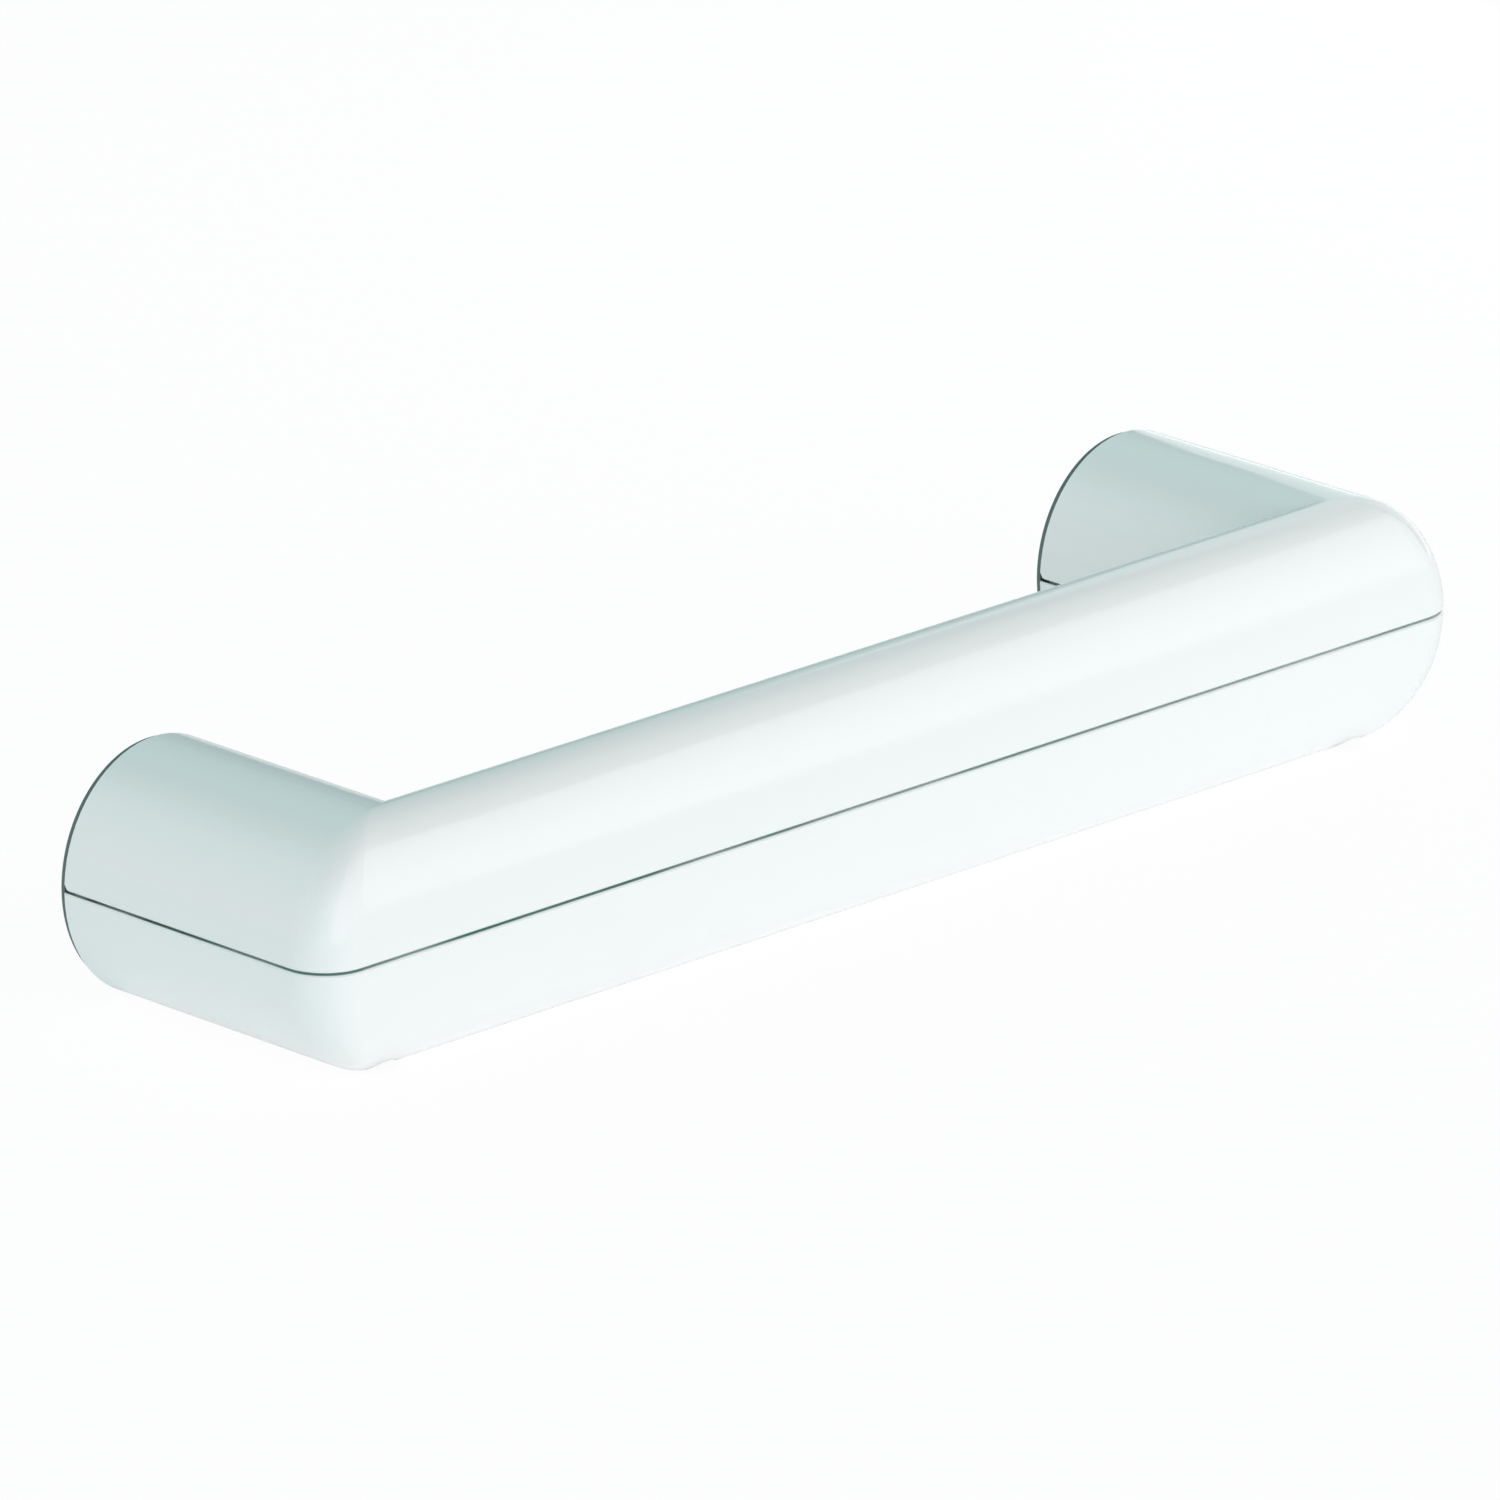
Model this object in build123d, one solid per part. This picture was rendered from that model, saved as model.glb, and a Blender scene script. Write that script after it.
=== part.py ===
"""Towel rail: two moulded half shells screwed together over a folded steel strip, on two sealing pads.

Units are millimetres. X runs along the rail, Y points at the wall and Z is up.
The origin lies on the wall face (Y = 0), midway between the two fixing holes,
at the height of the parting line between the shells.
"""

import math
import os

from build123d import *

# Outer form
overall_length = 250.0
projection = 58.5
height = 41.0
leg_width = 38.0
rail_depth = 19.5
corner_radius = 8.0
end_edge_bevel = 0.4

# Moulded shells
wall = 2.5
inside_flats = 6
seam_gap = 0.4
seam_edge_bevel = 0.25
notch_depth = 1.2
notch_height = 1.7
lip_height = 1.5
lip_clearance = 0.1
lip_setback = 4.0

# Sealing pads between the shells and the wall
pad_thickness = 0.8
pad_setback = 0.5

# Folded steel strip
strip_thickness = 3.0
strip_headroom = 7.0
strip_side_clearance = 1.0
strip_bend_radius = 3.0
foot_corner_radius = 3.0
foot_hole_diameter = 5.5

# Webs inside the shells, slotted over the strip
web_thickness = 2.0
web_slot_clearance = 0.15
rail_webs = 4

# Screws that close the shells, driven from below
screw_diameter = 3.5
screw_length = 20.0
screw_head_diameter = 6.8
screw_head_height = 2.4
screw_seat_drop = 8.0
screw_hole_clearance = 0.3
screw_pilot_clearance = 0.05
screw_pilot_spare = 1.5
head_clearance = 0.5
post_wall = 1.7
post_margin = 1.0
wall_screw_room = 7.0

# Centre lines of the legs and of the rail, and where the shells end at the pads
leg_x = (overall_length - leg_width) / 2
rail_y = rail_depth / 2 - projection
shell_end = -pad_thickness

# The strip stands upright inside the shells, as wide and as tall as their hollow allows
hollow_height = height / 2 - wall
strip_half_height = hollow_height - strip_headroom
hollow_share = math.sqrt(1 - (strip_half_height / hollow_height) ** 2)
strip_reach = (leg_width / 2 - wall) * hollow_share - strip_side_clearance
strip_x = leg_x - strip_reach + strip_thickness / 2

# One screw stands at each corner of the U and one behind each foot
head_hole_radius = screw_head_diameter / 2 + head_clearance
lower_post_width = 2 * (head_hole_radius + post_wall)
upper_post_width = screw_diameter + 2 * post_wall
foot_screw_y = -(strip_thickness + wall_screw_room + lower_post_width / 2)
screw_places = {
    "left_corner": (-leg_x, rail_y),
    "left_foot": (-leg_x, foot_screw_y),
    "right_foot": (leg_x, foot_screw_y),
    "right_corner": (leg_x, rail_y),
}


def skin(*sections):
    """A patch of oval skin through upright quarter ellipses, each given by foot, crest and height.

    Two sections make a ruled patch. Three make a rounded one, whose feet lie on an arc.
    """
    half_root = math.sqrt(0.5)
    shares = (1, half_root, 1) if len(sections) == 3 else (1, 1)
    rows = []
    for foot, crest, top in sections:
        rise = Vector(0, 0, top)
        rows.append([foot, foot + rise, crest + rise])
    weights = [[share, share * half_root, share] for share in shares]
    return Face.make_bezier_surface(rows, weights)


def half_oval(half_width, top):
    """The upper half of an ellipse, as a face centred on the origin."""
    arc = EllipticalCenterArc((0, 0), half_width, top, start_angle=0, arc_size=180)
    return make_face(arc + Line(arc @ 1, arc @ 0)).face()


def facing_rail(side, y):
    """An upright plane across one leg, seen from the wall."""
    return Plane((side * leg_x, y, 0), x_dir=(1, 0, 0), z_dir=(0, -1, 0))


def half_form():
    """The upper half of the U, solid.

    Leg and rail are oval bars of one height, mitred so that they meet in a sharp valley inside
    and in a rounded corner outside. A bevel breaks the edges that face the wall. Sections on both
    sides of the notch and of the foot screw keep what is cut there away from the long faces.
    """
    leg_half = leg_width / 2
    rail_half = rail_depth / 2
    top = height / 2
    bevel = end_edge_bevel
    full_y = shell_end - bevel
    post_reach = lower_post_width / 2 + post_margin
    stops = (
        full_y,
        full_y - 2 * notch_depth,
        foot_screw_y + post_reach,
        foot_screw_y - post_reach,
        rail_y + rail_half,
    )

    faces = []
    outlines = []
    rail_sections = []
    for side in (-1, 1):
        outwards = Vector(side, 0)
        centre = Vector(side * leg_x, rail_y)
        tip = centre + outwards * leg_half - Vector(0, rail_half)
        valley = centre - outwards * leg_half + Vector(0, rail_half)
        leg_end = (tip + Vector(0, corner_radius), centre, top)
        rail_end = (tip - outwards * corner_radius, centre, top)

        runs = []
        wall_end = Vector(centre.X, shell_end)
        for reach, last in ((outwards, leg_end), (-outwards, (valley, centre, top))):
            crests = [Vector(centre.X, y) for y in stops]
            run = [(wall_end + reach * (leg_half - bevel), wall_end, top - bevel)]
            run += [(crest + reach * leg_half, crest, top) for crest in crests]
            run.append(last)
            faces += [skin(*pair) for pair in zip(run, run[1:])]
            runs.append([foot for foot, crest, section_top in run])
        faces.append(facing_rail(side, shell_end) * half_oval(leg_half - bevel, top - bevel))

        level = Vector(valley.X, rail_y)
        front = (level - Vector(0, rail_half), level, top)
        back = (valley, level, top)
        corner = skin(leg_end, (tip, centre, top), rail_end)
        faces += [corner, skin(rail_end, front), skin((valley, centre, top), back)]
        rail_sections.append((front, back))

        to_corner, to_valley = runs
        corner_foot = corner.edges().sort_by(Axis.Z)[0]
        outlines.append((to_valley[::-1] + to_corner, corner_foot, [rail_end[0], front[0]]))

    faces += [skin(*pair) for pair in zip(*rail_sections)]
    (left_walk, left_corner, left_front), (right_walk, right_corner, right_front) = outlines
    floor = [left_corner, right_corner]
    for points in (left_walk[::-1] + right_walk, left_front + right_front[::-1]):
        floor += [Line(*pair) for pair in zip(points, points[1:]) if (pair[1] - pair[0]).length > 0]
    faces.append(make_face(floor).face())
    return Solid(Shell(faces))


def plan_face(inset, end_y):
    """The U's outline at the parting plane, a set distance inside the skin."""
    outer_x = leg_x + leg_width / 2 - inset
    inner_x = leg_x - leg_width / 2 + inset
    front_y = rail_y - rail_depth / 2 + inset
    back_y = rail_y + rail_depth / 2 - inset
    right = [(inner_x, back_y), (inner_x, end_y), (outer_x, end_y), (outer_x, front_y)]
    left = [(-x, y) for x, y in reversed(right)]
    outline = make_face(Polyline(*right, *left, close=True))
    return fillet(outline.vertices().group_by(Axis.Y)[0], corner_radius - inset)


def plan_column(inset, end_y, top):
    """A column over that outline."""
    return extrude(plan_face(inset, end_y), top, dir=(0, 0, 1))


def outer_half():
    """The upper half's outer form, cut back by half the seam, whose edge has a fine bevel."""
    low = seam_gap / 2
    high = low + seam_edge_bevel
    foot = Pos(0, 0, low) * plan_face(seam_edge_bevel, shell_end)
    bevel = loft([foot, Pos(0, 0, high) * plan_face(0, shell_end)], ruled=True)
    below = Box(2 * overall_length, 3 * projection, 2 * high) - bevel
    return half_form() - below


def seam_notch():
    """A wedge that takes the corner off the upper shell where the seam runs out at the wall."""
    far = shell_end + notch_depth
    outline = Polyline((shell_end - notch_depth, 0), (far, 2 * notch_height), (far, 0), close=True)
    return extrude(Plane.YZ * make_face(outline), overall_length, both=True)


def webs():
    """Cross walls from the shell's ceiling to the parting plane, slotted over the strip's upper edge."""
    rail_run = 2 * (strip_x - strip_bend_radius - strip_thickness / 2)
    pitch = rail_run / rail_webs
    slot_width = strip_thickness + 2 * web_slot_clearance
    leg_web_y = (foot_screw_y + rail_y) / 2

    rail_slot = Box(web_thickness, slot_width, 2 * strip_half_height)
    rail_web = Box(web_thickness, rail_depth, 2 * height) - rail_slot
    leg_slot = Box(slot_width, web_thickness, 2 * strip_half_height)
    walls = [Pos((index + 0.5) * pitch - rail_run / 2, rail_y) * rail_web for index in range(rail_webs)]
    for side in (-1, 1):
        leg_web = Box(leg_width, web_thickness, 2 * height) - Pos(side * (strip_x - leg_x)) * leg_slot
        walls.append(Pos(side * leg_x, leg_web_y) * leg_web)
    return walls


def at_screws(blank, level=0.0):
    """Copies of a blank on the screws' axes."""
    return [Pos(*place, level) * blank for place in screw_places.values()]


def posts(width):
    """The square posts that the screws run in."""
    return at_screws(Box(width, width, 2 * height))


def bores(radius, low, high):
    """Round holes on the screws' axes."""
    return at_screws(Cylinder(radius, high - low), (low + high) / 2)


def inside_section(half_width):
    """The space inside half a bar: half an ellipse, a wall's thickness within the skin, made of flats."""
    turns = [math.pi * index / inside_flats for index in range(inside_flats + 1)]
    points = [((half_width - wall) * math.cos(turn), hollow_height * math.sin(turn)) for turn in turns]
    return make_face(Polyline(*points, close=True))


def hollow(post_width):
    """What is empty inside a shell: legs and rail up to their centre lines, less webs and screw posts."""
    across_rail = Plane((-leg_x, rail_y, 0), x_dir=(0, 1, 0), z_dir=(1, 0, 0))
    space = extrude(across_rail * inside_section(rail_depth / 2), 2 * leg_x)
    for side in (-1, 1):
        space += extrude(facing_rail(side, wall) * inside_section(leg_width / 2), wall - rail_y)
    return space - webs() - posts(post_width)


def upper_shell():
    """The upper half, with a rebate for the lower shell's lip and posts that the screws cut into."""
    rebate = plan_column(wall / 2, wall, lip_height) - posts(upper_post_width)
    pilot_depth = screw_length - screw_seat_drop + screw_pilot_spare
    pilots = bores(screw_diameter / 2 + screw_pilot_clearance, 0, pilot_depth)
    return outer_half() - hollow(upper_post_width) - rebate - pilots - seam_notch()


def lower_shell():
    """The lower half, with a lip that rises into the upper shell and posts that sink the screw heads."""
    shell = outer_half() - hollow(lower_post_width)
    shell -= bores(screw_diameter / 2 + screw_hole_clearance, 0, screw_seat_drop)
    shell -= bores(head_hole_radius, screw_seat_drop, height)
    lip_foot = seam_gap / 2 + wall / 2
    lip = plan_column(wall / 2 + lip_clearance, shell_end - lip_setback, lip_foot + lip_height)
    lip -= plan_column(wall - lip_clearance, wall, 2 * (lip_foot + lip_height))
    return mirror(shell, Plane.XY) + Pos(0, 0, -lip_foot) * lip


def core_strip():
    """One steel strip, folded to a U inside the shells, with a foot turned outwards at each end."""
    middle = strip_thickness / 2
    foot_end = leg_x + strip_reach
    right = [(foot_end, -middle), (strip_x, -middle), (strip_x, rail_y)]
    left = [(-x, y) for x, y in reversed(right)]
    path = FilletPolyline(*right, *left, radius=strip_bend_radius + middle)
    across = Plane(path @ 0, x_dir=(0, 1, 0), z_dir=path % 0)
    strip = sweep(across * Rectangle(strip_thickness, 2 * strip_half_height), path)
    tips = strip.edges().filter_by(Axis.Y).group_by(lambda edge: round(abs(edge.center().X), 3))[-1]
    strip = fillet(tips, foot_corner_radius)
    for side in (-1, 1):
        strip -= Pos(side * leg_x, -middle) * Rot(90) * Cylinder(foot_hole_diameter / 2, 2 * strip_thickness)
    return strip


def wall_pad(side):
    """A thin ring that seals the end of one leg against the wall, set back from the skin."""
    upper_hole = inside_section(leg_width / 2)
    ring = Ellipse(leg_width / 2 - pad_setback, height / 2 - pad_setback)
    ring -= [upper_hole, mirror(upper_hole, Plane.XZ)]
    return extrude(facing_rail(side, 0) * ring, pad_thickness)


def shell_screw(place):
    """A blunt screw for plastics, pointing up, its head seated in the lower shell."""
    head = Cylinder(screw_head_diameter / 2, screw_head_height, align=(Align.CENTER, Align.CENTER, Align.MAX))
    shank = Cylinder(screw_diameter / 2, screw_length, align=(Align.CENTER, Align.CENTER, Align.MIN))
    return Pos(*place, -screw_seat_drop) * (head + shank)


parts = {
    "upper_shell": upper_shell(),
    "lower_shell": lower_shell(),
    "core_strip": core_strip(),
    "wall_pad_left": wall_pad(-1),
    "wall_pad_right": wall_pad(1),
}
for name, place in screw_places.items():
    parts[f"shell_screw_{name}"] = shell_screw(place)

os.makedirs("parts", exist_ok=True)
for name, solid in parts.items():
    solid.label = name
    export_step(solid, f"parts/{name}.step")
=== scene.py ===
"""The looks of a white towel rail: glossy moulded shells over a plated steel strip, on a pale floor."""

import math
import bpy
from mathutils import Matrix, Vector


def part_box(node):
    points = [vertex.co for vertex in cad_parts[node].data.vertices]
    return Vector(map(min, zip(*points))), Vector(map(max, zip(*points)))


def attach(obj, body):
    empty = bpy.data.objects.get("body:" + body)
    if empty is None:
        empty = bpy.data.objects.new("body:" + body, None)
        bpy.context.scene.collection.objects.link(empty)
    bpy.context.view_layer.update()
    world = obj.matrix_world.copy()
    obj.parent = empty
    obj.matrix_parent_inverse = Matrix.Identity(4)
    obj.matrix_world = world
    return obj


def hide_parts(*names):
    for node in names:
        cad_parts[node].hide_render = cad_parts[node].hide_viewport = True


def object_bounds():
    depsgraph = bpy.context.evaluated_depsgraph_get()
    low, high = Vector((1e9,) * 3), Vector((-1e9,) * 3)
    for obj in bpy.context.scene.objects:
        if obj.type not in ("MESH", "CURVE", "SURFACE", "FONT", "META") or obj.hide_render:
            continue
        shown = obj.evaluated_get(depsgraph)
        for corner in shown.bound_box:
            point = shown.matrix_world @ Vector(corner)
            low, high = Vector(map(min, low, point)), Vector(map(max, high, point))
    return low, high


bl_info = {
    "name": "Towel Rail Looks",
    "version": (1, 0, 0),
    "blender": (4, 5, 0),
    "location": "View3D > Sidebar > Towel Rail",
    "description": "Finishes the shells, the strip, the pads and the screws of a towel rail in a pale studio",
    "category": "Object",
}

from typing import NamedTuple

import bpy
from bpy.props import FloatProperty, FloatVectorProperty, IntProperty, PointerProperty
from mathutils import Vector

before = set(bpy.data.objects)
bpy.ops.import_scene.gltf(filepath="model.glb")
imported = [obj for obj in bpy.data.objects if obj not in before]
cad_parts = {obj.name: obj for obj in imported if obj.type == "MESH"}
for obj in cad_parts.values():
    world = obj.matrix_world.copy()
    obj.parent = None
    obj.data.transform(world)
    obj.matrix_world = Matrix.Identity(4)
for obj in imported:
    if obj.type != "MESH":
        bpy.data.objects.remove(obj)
cad_low, cad_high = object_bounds()

SHELL_NODES = ("upper_shell", "lower_shell")
STRIP_NODE = "core_strip"
PAD_NODES = ("wall_pad_left", "wall_pad_right")
SCREW_NODES = sorted(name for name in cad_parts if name.startswith("shell_screw"))


class Grain(NamedTuple):
    """The fine mottling of one finish."""

    scale: float
    stretch: tuple
    tone_spread: float
    bump_distance: float


SHELL_GRAIN = Grain(scale=900.0, stretch=(1.0, 1.0, 1.0), tone_spread=0.03, bump_distance=0.000004)
STRIP_GRAIN = Grain(scale=500.0, stretch=(0.05, 0.05, 1.0), tone_spread=0.25, bump_distance=0.000006)
SCREW_GRAIN = Grain(scale=900.0, stretch=(1.0, 1.0, 0.3), tone_spread=0.25, bump_distance=0.000006)
PAD_GRAIN = Grain(scale=1500.0, stretch=(1.0, 1.0, 1.0), tone_spread=0.2, bump_distance=0.00002)
GRAIN_GROUP = "Surface Grain"
GRAIN_DETAIL = 4.0
GRAIN_ROUGHNESS = 0.6

# Refraction of the moulded plastic, and the share of its colour that a finish keeps in the pits of its grain
PLASTIC_IOR = 1.5
METAL_PIT_SHADE = 0.8
RUBBER_PIT_SHADE = 0.6

# Painted shade in the seam, for the shadow in the gap between the shells: where it fades out, in half widths,
# its strength at the left end and on the right, and the share of the right half where it has weakened to that
SEAM_SHADE_EDGE = 1.3
SEAM_SHADE_LEFT = 0.72
SEAM_SHADE_RIGHT = 0.25
SEAM_SHADE_RIGHT_SHARE = 0.7

# Patches of the painted seam shade: scale and detail of their noise, the range that counts, and the strengths
# it gives
PATCH_SCALE = 45.0
PATCH_DETAIL = 3.0
PATCH_RANGE = (0.35, 0.65)
PATCH_STRENGTH = (0.5, 1.25)

# Shares of the way from the wall to the rail's front where the painted seam shade starts to blacken and is
# blackest, and the share of its colour that it keeps there
WALL_SHADE_START = 0.7
WALL_SHADE_FULL = 0.05
WALL_SHADE_KEPT = 0.1

# The notch that the upper shell has where the seam ends at the wall, and how far the painted shade on its
# slanted face spreads, in metres
NOTCH_DEPTH = 0.0012
NOTCH_HEIGHT = 0.0017
NOTCH_MARGIN = 0.00008

# Make of a screw: lobes of its recess, steps of its dome, share of the pitch that the thread's ridge takes,
# and the angle from which an edge is sharp
RECESS_LOBES = 6
DOME_STEPS = 5
RIDGE_SHARE = 0.5
SHARP_ANGLE = math.radians(40)

# Soft lights round the rail: degrees from the front towards +X, degrees above the horizon, colour
SOFT_LIGHTS = (
    (0, 12, (1.84, 1.57, 1.60)),
    (-45, 12, (0.70, 0.99, 1.02)),
    (-135, 12, (1.08, 0.90, 0.96)),
    (135, 12, (0.28, 0.40, 0.42)),
    (180, 48, (0.25, 0.58, 0.51)),
)

# Upright lamps: name, degrees from the front towards +X, distance, height of the upper edge, width, colour
LAMPS = (
    ("key_lamp", 55, 1.6, 0.973, 1.4, (1.2, 1.2, 1.2)),
    ("side_panel", 103, 0.46, 0.425, 0.34, (0.80, 0.77, 0.77)),
)

# Half the floor's width in metres, its roughness, and the camera's sensor in millimetres
FLOOR_REACH = 40.0
FLOOR_ROUGHNESS = 0.9
SENSOR_WIDTH = 36.0


class FinishSettings(bpy.types.PropertyGroup):
    """Colours and gloss of the finishes."""

    plastic_color: FloatVectorProperty(
        name="Shell colour",
        description="Colour of the moulded shells",
        subtype="COLOR",
        default=(0.885, 0.925, 0.915),
    )
    plastic_roughness: FloatProperty(
        name="Shell roughness",
        description="Mean roughness of the moulded skin",
        default=0.11,
        min=0.0,
        max=1.0,
    )
    # The seam colour is painted shade: it stands in for the shadow in the gap between the shells
    seam_shade_color: FloatVectorProperty(
        name="Seam colour",
        description="Colour of the grime that sits in the parting line",
        subtype="COLOR",
        default=(0.15, 0.40, 0.32),
    )
    # How far the painted seam shade reaches above and below the parting line
    seam_shade_half_width: FloatProperty(
        name="Seam half width",
        description="Height above and below the parting line that the grime reaches",
        unit="LENGTH",
        default=0.00021,
    )
    strip_color: FloatVectorProperty(
        name="Strip colour",
        description="Colour of the plated strip",
        subtype="COLOR",
        default=(0.62, 0.63, 0.64),
    )
    strip_roughness: FloatProperty(
        name="Strip roughness",
        description="Mean roughness of the plated strip",
        default=0.34,
        min=0.0,
        max=1.0,
    )
    pad_color: FloatVectorProperty(
        name="Pad colour",
        description="Colour of the rubber pads at the wall",
        subtype="COLOR",
        default=(0.15, 0.22, 0.21),
    )
    pad_roughness: FloatProperty(
        name="Pad roughness",
        description="Mean roughness of the rubber pads",
        default=0.7,
        min=0.0,
        max=1.0,
    )
    screw_color: FloatVectorProperty(
        name="Screw colour",
        description="Colour of the plated screws",
        subtype="COLOR",
        default=(0.60, 0.60, 0.58),
    )
    screw_roughness: FloatProperty(
        name="Screw roughness",
        description="Mean roughness of the plated screws",
        default=0.28,
        min=0.0,
        max=1.0,
    )


class ScrewSettings(bpy.types.PropertyGroup):
    """The thread, the head and the drive of a shell screw."""

    head_height: FloatProperty(
        name="Head height",
        description="From the seat to the lowest point of the head",
        unit="LENGTH",
        default=0.0024,
    )
    dome_rise: FloatProperty(
        name="Dome rise",
        description="How far the head falls back from its middle to its edge",
        unit="LENGTH",
        default=0.0011,
    )
    thread_diameter: FloatProperty(
        name="Thread diameter",
        description="Across the crests of the thread",
        unit="LENGTH",
        default=0.0035,
    )
    core_diameter: FloatProperty(
        name="Core diameter",
        description="Across the roots of the thread",
        unit="LENGTH",
        default=0.0024,
    )
    thread_pitch: FloatProperty(
        name="Thread pitch",
        description="From one crest of the thread to the next",
        unit="LENGTH",
        default=0.0016,
    )
    recess_radius: FloatProperty(
        name="Recess radius",
        description="Mean radius of the six-lobed recess",
        unit="LENGTH",
        default=0.0014,
    )
    recess_lobe: FloatProperty(
        name="Recess lobe",
        description="How far the lobes swing about the mean radius",
        unit="LENGTH",
        default=0.00022,
    )
    recess_depth: FloatProperty(
        name="Recess depth",
        description="Depth of the recess",
        unit="LENGTH",
        default=0.0013,
    )
    points_round: IntProperty(
        name="Points round",
        description="Points on each ring of the mesh",
        default=36,
        min=12,
    )
    rings_per_turn: IntProperty(
        name="Rings per turn",
        description="Rings of the mesh along each turn of the thread",
        default=8,
        min=4,
    )


class StageSettings(bpy.types.PropertyGroup):
    """The camera, the width of the soft lights and the floor."""

    camera_azimuth: FloatProperty(
        name="Camera azimuth",
        description="Direction of the camera, from straight in front of the rail towards +X",
        subtype="ANGLE",
        default=math.radians(-44.724),
    )
    camera_elevation: FloatProperty(
        name="Camera elevation",
        description="Height of the camera above the horizon",
        subtype="ANGLE",
        default=math.radians(19.089),
    )
    camera_distance: FloatProperty(
        name="Camera distance",
        description="From the camera to the point it looks at",
        unit="LENGTH",
        default=2.8006,
    )
    camera_lens: FloatProperty(
        name="Lens",
        description="Focal length, in millimetres on a 36 mm sensor",
        default=431.5,
    )
    camera_target: FloatVectorProperty(
        name="Camera target",
        description="The point in the middle of the picture",
        subtype="TRANSLATION",
        default=(-0.00160, -0.02476, -0.00141),
    )
    soft_half_width: FloatProperty(
        name="Soft light half width",
        description="Angle from the middle of a soft light to where it ends",
        subtype="ANGLE",
        default=math.radians(55),
    )
    floor_color: FloatVectorProperty(
        name="Floor colour",
        description="Colour of the floor",
        subtype="COLOR",
        default=(0.85, 0.87, 0.87),
    )
    floor_glow: FloatVectorProperty(
        name="Floor glow",
        description="Light that comes through the floor from below, as on a light table",
        subtype="COLOR",
        default=(0.25, 0.228, 0.23),
    )
    floor_whiteness: FloatProperty(
        name="Floor whiteness",
        description="Share of plain white in the floor that the camera sees; the rest shows the shadow",
        default=0.93,
        min=0.0,
        max=1.0,
    )


def new_node(tree, kind, **settings):
    """Adds a shader node to a tree, with some of its settings."""
    node = tree.nodes.new(f"ShaderNode{kind}")
    for name, value in settings.items():
        setattr(node, name, value)
    return node


def feed(tree, socket, value):
    """Links another node's output to a socket, or sets the socket to a plain value."""
    if isinstance(value, bpy.types.NodeSocket):
        tree.links.new(value, socket)
    else:
        socket.default_value = value


def math_node(tree, operation, *values, clamp=False):
    """The result of a Math node."""
    node = new_node(tree, "Math", operation=operation, use_clamp=clamp)
    for socket, value in zip(node.inputs, values):
        feed(tree, socket, value)
    return node.outputs["Value"]


def map_range(tree, value, source, target, interpolation="LINEAR"):
    """A value carried from one range, as (low, high), to another."""
    node = new_node(tree, "MapRange", interpolation_type=interpolation)
    feed(tree, node.inputs["Value"], value)
    for side, limits in (("From", source), ("To", target)):
        feed(tree, node.inputs[f"{side} Min"], limits[0])
        feed(tree, node.inputs[f"{side} Max"], limits[1])
    return node.outputs["Result"]


def mix_color(tree, factor, first, second):
    """A blend of two colours."""
    node = new_node(tree, "Mix", data_type="RGBA")
    for name, value in (("Factor", factor), ("A", first), ("B", second)):
        feed(tree, node.inputs[name], value)
    return node.outputs["Result"]


def mix_shader(tree, factor, first, second):
    """A blend of two shaders."""
    node = new_node(tree, "MixShader")
    for socket, value in zip(node.inputs, (factor, first, second)):
        feed(tree, socket, value)
    return node.outputs["Shader"]


def opaque(color, share=1.0):
    """A share of a colour, with full alpha."""
    return (*(share * channel for channel in color), 1.0)


def new_group(name, inputs, outputs):
    """A shader node group with its sockets, and the nodes at its two ends."""
    group = bpy.data.node_groups.new(name, "ShaderNodeTree")
    for direction, sockets in (("INPUT", inputs), ("OUTPUT", outputs)):
        for label, kind in sockets.items():
            group.interface.new_socket(label, in_out=direction, socket_type=f"NodeSocket{kind}")
    return group, group.nodes.new("NodeGroupInput"), group.nodes.new("NodeGroupOutput")


def surface_grain():
    """Builds the fine mottling that all finishes share, from object coordinates.

    It puts out a tone, which spreads about 1, and a height.
    """
    group, entry, leave = new_group(
        GRAIN_GROUP,
        inputs={"Scale": "Float", "Stretch": "Vector", "Tone Spread": "Float"},
        outputs={"Tone": "Float", "Height": "Float"},
    )
    place = new_node(group, "TexCoord")
    stretched = new_node(group, "VectorMath", operation="MULTIPLY")
    feed(group, stretched.inputs[0], place.outputs["Object"])
    feed(group, stretched.inputs[1], entry.outputs["Stretch"])
    noise = new_node(group, "TexNoise")
    feed(group, noise.inputs["Vector"], stretched.outputs["Vector"])
    feed(group, noise.inputs["Scale"], entry.outputs["Scale"])
    feed(group, noise.inputs["Detail"], GRAIN_DETAIL)
    feed(group, noise.inputs["Roughness"], GRAIN_ROUGHNESS)
    low = math_node(group, "SUBTRACT", 1.0, entry.outputs["Tone Spread"])
    high = math_node(group, "ADD", 1.0, entry.outputs["Tone Spread"])
    feed(group, leave.inputs["Tone"], map_range(group, noise.outputs["Fac"], (0.0, 1.0), (low, high)))
    feed(group, leave.inputs["Height"], noise.outputs["Fac"])
    return group


def soft_light(half_width):
    """Builds one round light in the sky that fades to nothing at its edge."""
    group, entry, leave = new_group(
        "Soft Light",
        inputs={"Direction": "Vector", "Color": "Color"},
        outputs={"Color": "Color"},
    )
    place = new_node(group, "TexCoord")
    nearness = new_node(group, "VectorMath", operation="DOT_PRODUCT")
    feed(group, nearness.inputs[0], place.outputs["Generated"])
    feed(group, nearness.inputs[1], entry.outputs["Direction"])
    edge = math.cos(half_width)
    fade = map_range(group, nearness.outputs["Value"], (edge, 1.0), (0.0, 1.0), "SMOOTHSTEP")
    light = new_node(group, "VectorMath", operation="SCALE")
    feed(group, light.inputs[0], entry.outputs["Color"])
    feed(group, light.inputs["Scale"], fade)
    feed(group, leave.inputs["Color"], light.outputs["Vector"])
    return group


def new_material(name):
    """A node material, with its node tree and its Principled shader."""
    material = bpy.data.materials.new(name)
    material.use_nodes = True
    return material, material.node_tree, material.node_tree.nodes["Principled BSDF"]


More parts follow.
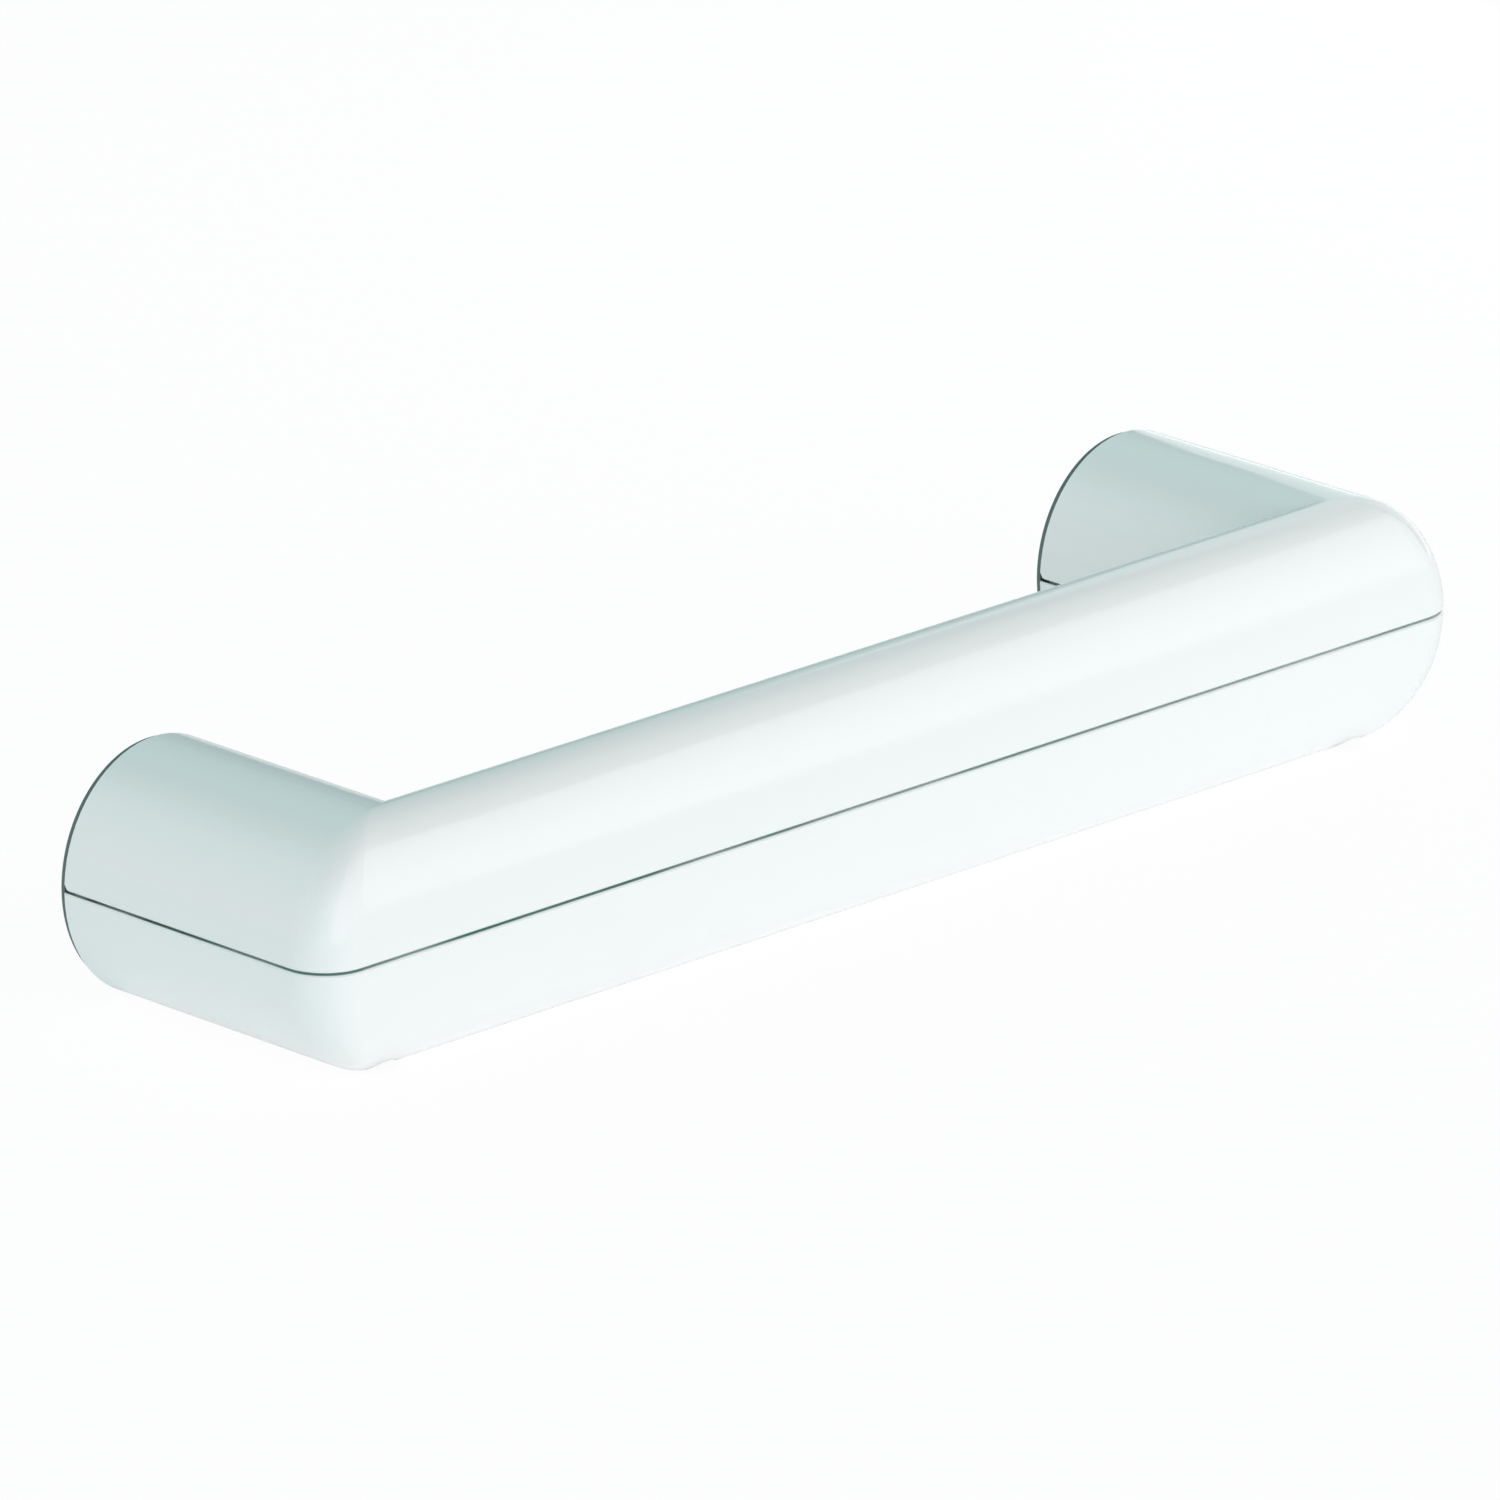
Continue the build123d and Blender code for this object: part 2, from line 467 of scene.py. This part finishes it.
def add_grain(tree, shader, grain, roughness):
    """Lets a grain vary the roughness and raise the surface, and gives the grain's height."""
    node = new_node(tree, "Group", node_tree=bpy.data.node_groups.get(GRAIN_GROUP) or surface_grain())
    feed(tree, node.inputs["Scale"], grain.scale)
    feed(tree, node.inputs["Stretch"], grain.stretch)
    feed(tree, node.inputs["Tone Spread"], grain.tone_spread)
    bump = new_node(tree, "Bump")
    feed(tree, bump.inputs["Distance"], grain.bump_distance)
    feed(tree, bump.inputs["Strength"], 1.0)
    feed(tree, bump.inputs["Height"], node.outputs["Height"])
    feed(tree, shader.inputs["Normal"], bump.outputs["Normal"])
    feed(tree, shader.inputs["Roughness"], math_node(tree, "MULTIPLY", node.outputs["Tone"], roughness))
    return node.outputs["Height"]


def notch_mask(tree, axes):
    """1 on the slanted face of the notch at the wall, 0 on the rest of the shells."""
    pad_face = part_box(PAD_NODES[0])[0].y
    height = axes.outputs["Z"]
    depth = math_node(tree, "MULTIPLY_ADD", height, -NOTCH_DEPTH / NOTCH_HEIGHT, axes.outputs["Y"])
    behind = math_node(tree, "GREATER_THAN", depth, pad_face - NOTCH_DEPTH - NOTCH_MARGIN)
    above = math_node(tree, "GREATER_THAN", height, 0.0)
    below = math_node(tree, "LESS_THAN", height, NOTCH_HEIGHT)
    return math_node(tree, "MULTIPLY", math_node(tree, "MULTIPLY", above, below), behind)


def painted_seam_shade(tree, half_width):
    """Painted shade in the seam and the notch, for the shadow in the gap between the shells: its amount, and
    its nearness to the wall, where it is blackest.
    """
    place = new_node(tree, "TexCoord").outputs["Object"]
    axes = new_node(tree, "SeparateXYZ")
    feed(tree, axes.inputs["Vector"], place)
    patches = new_node(tree, "TexNoise")
    feed(tree, patches.inputs["Vector"], place)
    feed(tree, patches.inputs["Scale"], PATCH_SCALE)
    feed(tree, patches.inputs["Detail"], PATCH_DETAIL)

    height = math_node(tree, "ABSOLUTE", axes.outputs["Z"])
    inside = map_range(tree, height, (half_width, SEAM_SHADE_EDGE * half_width), (1.0, 0.0), "SMOOTHSTEP")
    run = (cad_low.x, SEAM_SHADE_RIGHT_SHARE * cad_high.x)
    along = map_range(tree, axes.outputs["X"], run, (SEAM_SHADE_LEFT, SEAM_SHADE_RIGHT), "SMOOTHSTEP")
    approach = (WALL_SHADE_START * cad_low.y, WALL_SHADE_FULL * cad_low.y)
    wall = map_range(tree, axes.outputs["Y"], approach, (0.0, 1.0), "SMOOTHSTEP")
    patchy = map_range(tree, patches.outputs["Fac"], PATCH_RANGE, PATCH_STRENGTH)
    spread = math_node(tree, "MULTIPLY", math_node(tree, "MAXIMUM", along, wall), patchy)
    amount = math_node(tree, "MULTIPLY", spread, inside, clamp=True)
    # The slanted face of the notch is painted dark too, as painted shade
    return math_node(tree, "MAXIMUM", amount, notch_mask(tree, axes)), wall


def plastic_material(finish):
    """Glossy white moulded plastic, with painted shade in the parting line and in the notch at the wall."""
    material, tree, shader = new_material("white_shell_plastic")
    feed(tree, shader.inputs["IOR"], PLASTIC_IOR)
    add_grain(tree, shader, SHELL_GRAIN, finish.plastic_roughness)
    amount, wall = painted_seam_shade(tree, finish.seam_shade_half_width)
    # Painted seam shade, darker towards the wall
    shade_tint = mix_color(tree, wall, opaque(finish.seam_shade_color), opaque(finish.seam_shade_color, WALL_SHADE_KEPT))
    feed(tree, shader.inputs["Base Color"], mix_color(tree, amount, opaque(finish.plastic_color), shade_tint))
    return material


def metal_material(name, color, roughness, grain):
    """Plated steel with a fine drawn grain."""
    material, tree, shader = new_material(name)
    feed(tree, shader.inputs["Metallic"], 1.0)
    height = add_grain(tree, shader, grain, roughness)
    tint = mix_color(tree, height, opaque(color, METAL_PIT_SHADE), opaque(color))
    feed(tree, shader.inputs["Base Color"], tint)
    return material


def rubber_material(color, roughness):
    """Dark matt rubber."""
    material, tree, shader = new_material("pad_rubber")
    height = add_grain(tree, shader, PAD_GRAIN, roughness)
    tint = mix_color(tree, height, opaque(color, RUBBER_PIT_SHADE), opaque(color))
    feed(tree, shader.inputs["Base Color"], tint)
    return material


def give_material(names, material):
    """Puts one material in all the slots of some CAD pieces."""
    for name in names:
        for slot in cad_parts[name].material_slots:
            slot.material = material


class RAIL_OT_shells(bpy.types.Operator):
    """Finish the two moulded shells"""

    bl_idname = "towel_rail.shells"
    bl_label = "Shells"

    def execute(self, context):
        give_material(SHELL_NODES, plastic_material(context.scene.rail_finish))
        return {"FINISHED"}


class RAIL_OT_strip(bpy.types.Operator):
    """Finish the folded steel strip"""

    bl_idname = "towel_rail.strip"
    bl_label = "Steel strip"

    def execute(self, context):
        finish = context.scene.rail_finish
        material = metal_material("plated_strip", finish.strip_color, finish.strip_roughness, STRIP_GRAIN)
        give_material([STRIP_NODE], material)
        return {"FINISHED"}


class RAIL_OT_pads(bpy.types.Operator):
    """Finish the sealing pads at the wall"""

    bl_idname = "towel_rail.pads"
    bl_label = "Wall pads"

    def execute(self, context):
        finish = context.scene.rail_finish
        give_material(PAD_NODES, rubber_material(finish.pad_color, finish.pad_roughness))
        return {"FINISHED"}


def screw_rings(screw, head_radius, length):
    """The rings of a screw that points up, from the floor of its recess to its end.

    Each ring is its height and a function that gives its radius at a turn.
    """
    head = screw.head_height
    core = screw.core_diameter / 2
    crest = screw.thread_diameter / 2 - core
    rim = screw.recess_radius + 2 * screw.recess_lobe

    def recess(turn):
        return screw.recess_radius + screw.recess_lobe * math.cos(RECESS_LOBES * turn)

    def plain(radius):
        return lambda turn: radius

    def thread(height):
        def radius(turn):
            phase = (height / screw.thread_pitch - turn / math.tau) % 1.0
            return core + crest * max(0.0, 1.0 - abs(2.0 * phase - 1.0) / RIDGE_SHARE)
        return radius

    rings = [(screw.recess_depth - head, recess), (-head, recess)]
    for step in range(DOME_STEPS + 1):
        share = step / DOME_STEPS
        rings.append((screw.dome_rise * share ** 2 - head, plain(rim + (head_radius - rim) * share)))
    rings.append((0.0, plain(head_radius)))
    rings.append((0.0, plain(core)))
    thread_length = length - head
    count = round(thread_length / screw.thread_pitch * screw.rings_per_turn)
    for step in range(1, count):
        height = thread_length * step / count
        rings.append((height, thread(height)))
    rings.append((thread_length, plain(core)))
    return rings


def screw_mesh(screw, head_radius, length):
    """One screw with a domed head, a six-lobed recess and a thread, its seat at the origin."""
    count = screw.points_round
    turns = [math.tau * index / count for index in range(count)]
    points = []
    faces = []
    for height, radius in screw_rings(screw, head_radius, length):
        first = len(points)
        for turn in turns:
            points.append((radius(turn) * math.cos(turn), radius(turn) * math.sin(turn), height))
        if not first:
            faces.append(range(count - 1, -1, -1))
            continue
        for index in range(count):
            after = (index + 1) % count
            faces.append((first - count + index, first - count + after, first + after, first + index))
    faces.append(range(len(points) - count, len(points)))
    mesh = bpy.data.meshes.new("shell_screw")
    mesh.from_pydata(points, [], faces)
    mesh.shade_smooth()
    mesh.set_sharp_from_angle(angle=SHARP_ANGLE)
    return mesh


class RAIL_OT_screws(bpy.types.Operator):
    """Make the screws that close the shells"""

    bl_idname = "towel_rail.screws"
    bl_label = "Shell screws"

    def execute(self, context):
        screw = context.scene.rail_screw
        finish = context.scene.rail_finish
        low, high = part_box(SCREW_NODES[0])
        mesh = screw_mesh(screw, (high.x - low.x) / 2, high.z - low.z)
        material = metal_material("plated_screw", finish.screw_color, finish.screw_roughness, SCREW_GRAIN)
        mesh.materials.append(material)
        for name in SCREW_NODES:
            low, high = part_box(name)
            thing = bpy.data.objects.new(f"{name}_detail", mesh)
            thing.location = ((low.x + high.x) / 2, (low.y + high.y) / 2, low.z + screw.head_height)
            context.scene.collection.objects.link(thing)
            context.view_layer.update()
            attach(thing, "root")
            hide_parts(name)
        return {"FINISHED"}


class RAIL_OT_stage(bpy.types.Operator):
    """Set the floor, the lights and the camera"""

    bl_idname = "towel_rail.stage"
    bl_label = "Stage"

    def execute(self, context):
        stage = context.scene.rail_stage
        context.scene.view_settings.view_transform = "Standard"
        make_floor(stage)
        make_sky(stage)
        for lamp in LAMPS:
            make_lamp(*lamp)
        make_camera(stage)
        return {"FINISHED"}


def aim(azimuth, elevation):
    """The direction from the rail at an angle from its front towards +X and above the horizon."""
    return Vector((
        math.sin(azimuth) * math.cos(elevation),
        -math.cos(azimuth) * math.cos(elevation),
        math.sin(elevation),
    ))


def add_thing(name, data):
    """A new object in the scene."""
    thing = bpy.data.objects.new(name, data)
    bpy.context.scene.collection.objects.link(thing)
    return thing


def make_floor(stage):
    """A wide pale floor under the rail, white to the camera but for the shadow, and clear from below."""
    mesh = bpy.data.meshes.new("floor")
    signs = ((-1, -1), (1, -1), (1, 1), (-1, 1))
    corners = [(FLOOR_REACH * x, FLOOR_REACH * y, cad_low.z) for x, y in signs]
    mesh.from_pydata(corners, [], [(0, 1, 2, 3)])
    floor = add_thing("floor", mesh)

    material, tree, shader = new_material("pale_floor")
    feed(tree, shader.inputs["Base Color"], opaque(stage.floor_color))
    feed(tree, shader.inputs["Roughness"], FLOOR_ROUGHNESS)
    feed(tree, shader.inputs["Specular IOR Level"], 0.0)
    feed(tree, shader.inputs["Emission Color"], opaque(stage.floor_glow))
    feed(tree, shader.inputs["Emission Strength"], 1.0)
    path = new_node(tree, "LightPath")
    side = new_node(tree, "NewGeometry")
    white = new_node(tree, "Emission")
    clear = new_node(tree, "BsdfTransparent")
    share = math_node(tree, "MULTIPLY", path.outputs["Is Camera Ray"], stage.floor_whiteness)
    upper = mix_shader(tree, share, shader.outputs["BSDF"], white.outputs["Emission"])
    both = mix_shader(tree, side.outputs["Backfacing"], upper, clear.outputs["BSDF"])
    feed(tree, tree.nodes["Material Output"].inputs["Surface"], both)
    mesh.materials.append(material)


def make_sky(stage):
    """Soft lights all round, and plain white where the camera sees past the floor."""
    world = bpy.data.worlds.new("studio")
    world.use_nodes = True
    tree = world.node_tree
    group = soft_light(stage.soft_half_width)
    total = None
    for azimuth, elevation, color in SOFT_LIGHTS:
        light = new_node(tree, "Group", node_tree=group)
        feed(tree, light.inputs["Direction"], aim(math.radians(azimuth), math.radians(elevation)))
        feed(tree, light.inputs["Color"], opaque(color))
        if total is None:
            total = light.outputs["Color"]
            continue
        both = new_node(tree, "VectorMath", operation="ADD")
        feed(tree, both.inputs[0], total)
        feed(tree, both.inputs[1], light.outputs["Color"])
        total = both.outputs["Vector"]
    path = new_node(tree, "LightPath")
    seen = mix_color(tree, path.outputs["Is Camera Ray"], total, (1.0, 1.0, 1.0, 1.0))
    feed(tree, tree.nodes["Background"].inputs["Color"], seen)
    bpy.context.scene.world = world


def make_lamp(name, azimuth, distance, top, width, color):
    """An upright soft lamp that stands on the floor and faces the rail."""
    level = aim(math.radians(azimuth), 0.0)
    low = cad_low.z
    lamp = bpy.data.lights.new(name, "AREA")
    lamp.shape = "RECTANGLE"
    lamp.size = width
    lamp.size_y = top - low
    lamp.energy = math.pi * lamp.size * lamp.size_y
    lamp.color = color
    thing = add_thing(name, lamp)
    thing.location = distance * level + Vector((0.0, 0.0, (top + low) / 2))
    thing.rotation_euler = (-level).to_track_quat("-Z", "Y").to_euler()
    thing.visible_camera = False


def make_camera(stage):
    """The camera at the photograph's angle."""
    camera = bpy.data.cameras.new("camera")
    camera.lens = stage.camera_lens
    camera.sensor_width = SENSOR_WIDTH
    thing = add_thing("camera", camera)
    back = aim(stage.camera_azimuth, stage.camera_elevation)
    thing.location = Vector(stage.camera_target) + back * stage.camera_distance
    thing.rotation_euler = (-back).to_track_quat("-Z", "Y").to_euler()
    bpy.context.scene.camera = thing


class RAIL_PT_looks(bpy.types.Panel):
    """The towel rail's pieces and settings"""

    bl_label = "Towel Rail"
    bl_space_type = "VIEW_3D"
    bl_region_type = "UI"
    bl_category = "Towel Rail"

    def draw(self, context):
        layout = self.layout
        scene = context.scene
        for operator in OPERATORS:
            layout.operator(operator.bl_idname)
        for group in (scene.rail_finish, scene.rail_screw, scene.rail_stage):
            for name in group.__annotations__:
                layout.prop(group, name)


OPERATORS = (RAIL_OT_shells, RAIL_OT_strip, RAIL_OT_pads, RAIL_OT_screws, RAIL_OT_stage)
CLASSES = (FinishSettings, ScrewSettings, StageSettings, *OPERATORS, RAIL_PT_looks)


def register():
    for each in CLASSES:
        bpy.utils.register_class(each)
    bpy.types.Scene.rail_finish = PointerProperty(type=FinishSettings)
    bpy.types.Scene.rail_screw = PointerProperty(type=ScrewSettings)
    bpy.types.Scene.rail_stage = PointerProperty(type=StageSettings)


def unregister():
    del bpy.types.Scene.rail_stage
    del bpy.types.Scene.rail_screw
    del bpy.types.Scene.rail_finish
    for each in reversed(CLASSES):
        bpy.utils.unregister_class(each)


def main():
    register()
    bpy.ops.towel_rail.shells()
    bpy.ops.towel_rail.strip()
    bpy.ops.towel_rail.pads()
    bpy.ops.towel_rail.screws()
    bpy.ops.towel_rail.stage()


if __name__ == "__main__":
    main()
